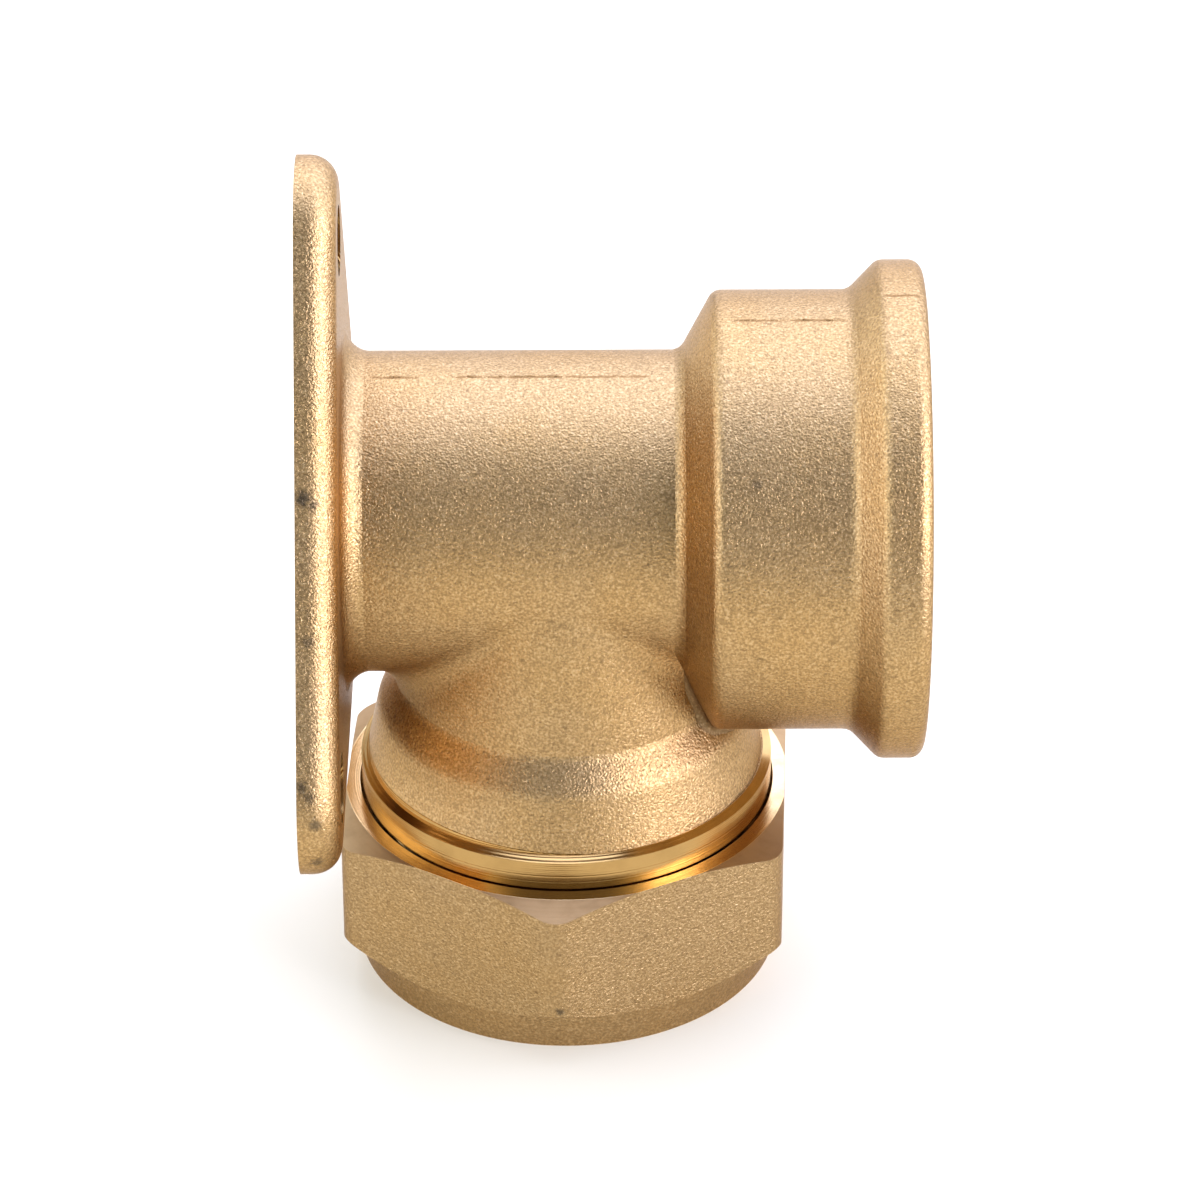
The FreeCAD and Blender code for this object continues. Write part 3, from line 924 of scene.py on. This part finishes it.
@dataclass(frozen=True)
class Studio:
    """Pale floor, soft light and the camera at the photograph's angle."""

    target: tuple[float, float, float] = (20.0, 0.0, -6.0)
    azimuth_deg: float = 0.085
    elevation_deg: float = 32.26
    roll_deg: float = -0.282
    distance: float = 431.787
    aside: float = 0.929
    above: float = -1.36
    lens: float = 180.0
    sensor: float = 36.0
    floor_reach: float = 4.0
    floor_paint: Colour = (0.60, 0.545, 0.40)
    floor_glow: float = 0.28
    floor_front: float = 0.28
    front_level: float = 0.24
    side_level: float = 1.2
    left_level: float = 2.8
    horizon_level: float = 1.1
    back_level: float = 2.9
    back_tilt_deg: float = 7.0
    window_level: float = 10.0
    window_way: tuple[float, float, float] = (0.84, -0.446, 0.309)
    sky_colour: Colour = (0.95, 1.03, 1.24)
    back_colour: Colour = (0.95, 1.06, 1.55)
    window_colour: Colour = (1.0, 1.03, 1.4)

    def floor(self, height: float) -> None:
        """Lays a wide pale floor that is no part of the object.

        Args:
            height: where the object stands, in metres.
        """
        reach = self.floor_reach
        corners = [(-reach, -self.floor_front, height), (reach, -self.floor_front, height)]
        corners += [(reach, reach, height), (-reach, reach, height)]
        mesh = bpy.data.meshes.new("studio_floor")
        mesh.from_pydata(corners, [], [(0, 1, 2, 3)])
        made = bpy.data.objects.new("studio_floor", mesh)
        bpy.context.scene.collection.objects.link(made)
        paint = bpy.data.materials.new("studio_white")
        paint.use_nodes = True
        graph = Graph(paint.node_tree)
        shader = graph.node(
            "ShaderNodeBsdfPrincipled",
            None,
            {
                "Base Color": (*self.floor_paint, 1.0),
                "Roughness": 0.9,
                "Emission Color": (1.0, 1.0, 1.0, 1.0),
                "Emission Strength": self.floor_glow,
            },
        )
        graph.node("ShaderNodeOutputMaterial", None, {"Surface": shader.outputs[0]})
        mesh.materials.append(paint)
        made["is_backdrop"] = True

    def surround(self) -> None:
        """Room light: bright above and behind, a window at the right front, dim in front."""
        world = bpy.data.worlds.new("studio_room")
        world.use_nodes = True
        bpy.context.scene.world = world
        graph = Graph(world.node_tree)
        way = graph.node("ShaderNodeTexCoord").outputs["Generated"]
        parts = graph.node("ShaderNodeSeparateXYZ", None, {0: way}).outputs
        aside, behind, over = (Signal(graph, part) for part in parts)
        tilt = math.radians(self.back_tilt_deg)
        lit = (behind * math.cos(tilt) + over * math.sin(tilt)).ramp(-0.12, 0.12)
        lit = lit * aside.ramp(-0.55, -0.2)
        across, along, up = self.window_way
        window = (aside * across + behind * along + over * up).ramp(0.915, 0.98)
        side = (aside * aside).ramp(0.12, 0.35)
        front = side * (self.side_level - self.front_level) + self.front_level
        front = front + (self.left_level - front) * aside.ramp(-0.52, -0.8)
        back = over.ramp(-0.05, 0.3) * (self.back_level - self.horizon_level) + self.horizon_level
        level = front + (back - front) * lit
        level = level.most(window * self.window_level)
        colour = graph.blend(lit, self.sky_colour, self.back_colour)
        colour = graph.blend(window, colour, self.window_colour)
        room = graph.node("ShaderNodeBackground", None, {"Color": colour, "Strength": level})
        graph.node("ShaderNodeOutputWorld", None, {"Surface": room.outputs[0]})

    def camera(self) -> None:
        """Sets the camera: it looks at the target, rolled and moved aside a little."""
        azimuth, elevation, roll = (
            math.radians(angle) for angle in (self.azimuth_deg, self.elevation_deg, self.roll_deg)
        )
        back = Vector(
            (
                math.sin(azimuth) * math.cos(elevation),
                -math.cos(azimuth) * math.cos(elevation),
                math.sin(elevation),
            )
        )
        level = Vector((math.cos(azimuth), math.sin(azimuth), 0.0))
        upright = back.cross(level)
        right = level * math.cos(roll) + upright * math.sin(roll)
        up = upright * math.cos(roll) - level * math.sin(roll)
        place = Vector(self.target) + back * self.distance + right * self.aside + up * self.above
        data = bpy.data.cameras.new("photo_camera")
        data.sensor_width, data.lens = self.sensor, self.lens
        data.clip_start, data.clip_end = 0.01, 50.0
        made = bpy.data.objects.new("photo_camera", data)
        turn = Matrix((right, up, back)).transposed().to_4x4()
        made.matrix_world = Matrix.Translation(place * MM) @ turn
        bpy.context.scene.collection.objects.link(made)
        bpy.context.scene.camera = made

    def build(self, height: float) -> None:
        """Sets up floor, light and camera.

        Args:
            height: where the object stands, in metres.
        """
        self.floor(height)
        self.surround()
        self.camera()
        bpy.context.scene.view_settings.view_transform = "Standard"
        LOG.info("studio: floor at %.5f m", height)


STEM_OUTLINE = Profile(
    (
        (2.0, 11.43, 0.0),
        (26.65, 11.43, 1.1),
        (29.05, 15.7, 1.0),
        (38.65, 15.7, 1.1),
        (40.7, 17.8, 1.0),
        (43.9, 17.8, 0.0),
    )
)
BRANCH_OUTLINE = Profile(
    ((0.0, 11.18, 0.0), (13.4, 12.03, 1.8), (15.6, 13.5, 2.5), (20.0, 14.4, 0.0))
)


@dataclass
class Elbow:
    """Forged elbow body with its two threads, the blend of its crease and its flash."""

    finish: ElbowFinish = field(
        default_factory=lambda: ElbowFinish(
            "elbow_brass",
            BlastedBrass(
                spots=(
                    Spot(0.6, -14.1, 9.6, 0.8, 0.85),
                    Spot(1.3, -14.3, 9.2, 0.6, 0.7),
                    Spot(0.9, -19.0, 1.0, 0.6, 0.6),
                    Spot(0.35, -24.0, -7.6, 0.6, 0.7),
                    Spot(0.9, -24.4, -8.2, 0.6, 0.6),
                    Spot(1.3, -25.0, -10.1, 0.7, 0.7),
                    Spot(1.3, -24.5, -13.6, 0.7, 0.7),
                    Spot(31.8, -12.45, 9.6, 0.5, 0.55),
                ),
                seams=(
                    Seam(4.6, 8.4, -0.75),
                    Seam(10.6, 24.6, -0.75),
                    Seam(30.2, 38.4, -0.38),
                    Seam(40.7, 43.6, -0.62),
                ),
            ),
            TurnedBrass(),
        )
    )
    # the blend strip's skin is darker and rougher than the elbow's: painted shade in the crease
    crease_shade_finish: CreaseShadeFinish = CreaseShadeFinish(
        "crease_painted_shade",
        BlastedBrass((0.24, 0.15, 0.066), (0.23, 0.14, 0.058), roughness=0.5, speckle=0.35),
        TurnedBrass(),
    )
    male_thread: ThreadRidge = ThreadRidge(
        "male_thread",
        origin=(ElbowSizes.branch_axis, 0.0, 0.0),
        along=(0.0, 0.0, 1.0),
        root=13.05,
        height=0.85,
        pitch=1.5,
        start=-29.6,
        length=5.7,
        flank_deg=30.0,
        crest=0.2,
    )
    outlet_thread: ThreadRidge = ThreadRidge(
        "outlet_thread",
        origin=(0.0, 0.0, 0.0),
        along=(1.0, 0.0, 0.0),
        root=ElbowSizes.outlet_radius,
        height=-1.1,
        pitch=1.814,
        start=30.0,
        length=12.4,
        flank_deg=27.5,
        crest=0.3,
    )
    crease: CreaseBlend = CreaseBlend(
        "socket_blend",
        axis=ElbowSizes.forged_axis,
        branch=BRANCH_OUTLINE,
        socket=STEM_OUTLINE,
        radius=0.5,
        reach_deg=64.0,
        fade_deg=26.0,
    )
    flash: tuple[FlashLine, ...] = (
        FlashLine("flash_by_plate", STEM_OUTLINE, 5.3, 8.2, -0.6, 0.2, 0.10, 3),
        FlashLine("flash_on_stem", STEM_OUTLINE, 11.0, 18.6, -0.6, 0.2, 0.10, 4),
        FlashLine("flash_on_socket", STEM_OUTLINE, 30.6, 38.2, -0.25, 0.16, 0.07, 5),
        FlashLine("flash_on_bead", STEM_OUTLINE, 41.3, 43.0, -0.5, 0.16, 0.07, 6),
    )

    def dress(self, nodes: Mapping[str, bpy.types.Object]) -> None:
        """Gives the CAD body its finish and adds the threads, the blend and the flash.

        Args:
            nodes: the CAD nodes by name.
        """
        # crease is the material that paints shade into the blend strip
        skin, crease = self.finish.material(), self.crease_shade_finish.material()
        wear(nodes["elbow_body"], skin)
        for piece in (self.male_thread, self.outlet_thread, self.crease, *self.flash):
            made = piece.build()
            wear(made, crease if piece is self.crease else skin)
            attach(made, Body.ELBOW.value)
            LOG.info("%s: %d points", made.name, len(made.data.vertices))


@dataclass
class Nut:
    """Compression nut with its thread."""

    finish: NutFinish = field(
        default_factory=lambda: NutFinish(
            "nut_brass",
            BlastedBrass(
                base=(0.42, 0.273, 0.123),
                warm=(0.435, 0.273, 0.113),
                roughness=0.28,
                grain=5.4,
                grain_height=0.07,
                speckle=0.4,
                spots=(Spot(17.94, -18.1, -31.1, 0.45, 0.8),),
            ),
            TurnedBrass((0.80, 0.57, 0.27), (0.68, 0.46, 0.20), roughness=0.2, ring_height=0.005),
        )
    )
    thread: ThreadRidge = ThreadRidge(
        "nut_thread",
        origin=(ElbowSizes.branch_axis, 0.0, 0.0),
        along=(0.0, 0.0, 1.0),
        root=14.1,
        height=-0.85,
        pitch=1.5,
        start=-30.35,
        length=6.3,
        flank_deg=30.0,
        crest=0.2,
    )

    def dress(self, nodes: Mapping[str, bpy.types.Object]) -> None:
        """Gives the CAD nut its finish and adds the thread.

        Args:
            nodes: the CAD nodes by name.
        """
        material = self.finish.material()
        wear(nodes["compression_nut"], material)
        made = self.thread.build()
        wear(made, material)
        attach(made, Body.NUT.value)
        LOG.info("%s: %d points", made.name, len(made.data.vertices))


@dataclass
class Olive:
    """Olive: turned all over."""

    finish: BrassPiece = field(
        default_factory=lambda: BrassPiece("olive_brass", BlastedBrass(), TurnedBrass())
    )

    def dress(self, nodes: Mapping[str, bpy.types.Object]) -> None:
        """Gives the CAD olive its finish.

        Args:
            nodes: the CAD nodes by name.
        """
        wear(nodes["olive"], self.finish.material())


def wear(piece: bpy.types.Object, material: bpy.types.Material) -> None:
    """Puts a material on every face of a piece.

    Args:
        piece: a mesh object.
        material: its only material.
    """
    piece.data.materials.clear()
    piece.data.materials.append(material)


def main() -> None:
    """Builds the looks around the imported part."""
    logging.basicConfig(level=logging.INFO, format="%(name)s: %(message)s")
    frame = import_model()
    cad_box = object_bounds()
    nodes = frame["nodes"]
    Elbow().dress(nodes)
    Nut().dress(nodes)
    Olive().dress(nodes)
    Studio().build(cad_box[0].z)


if __name__ == "__main__":
    main()
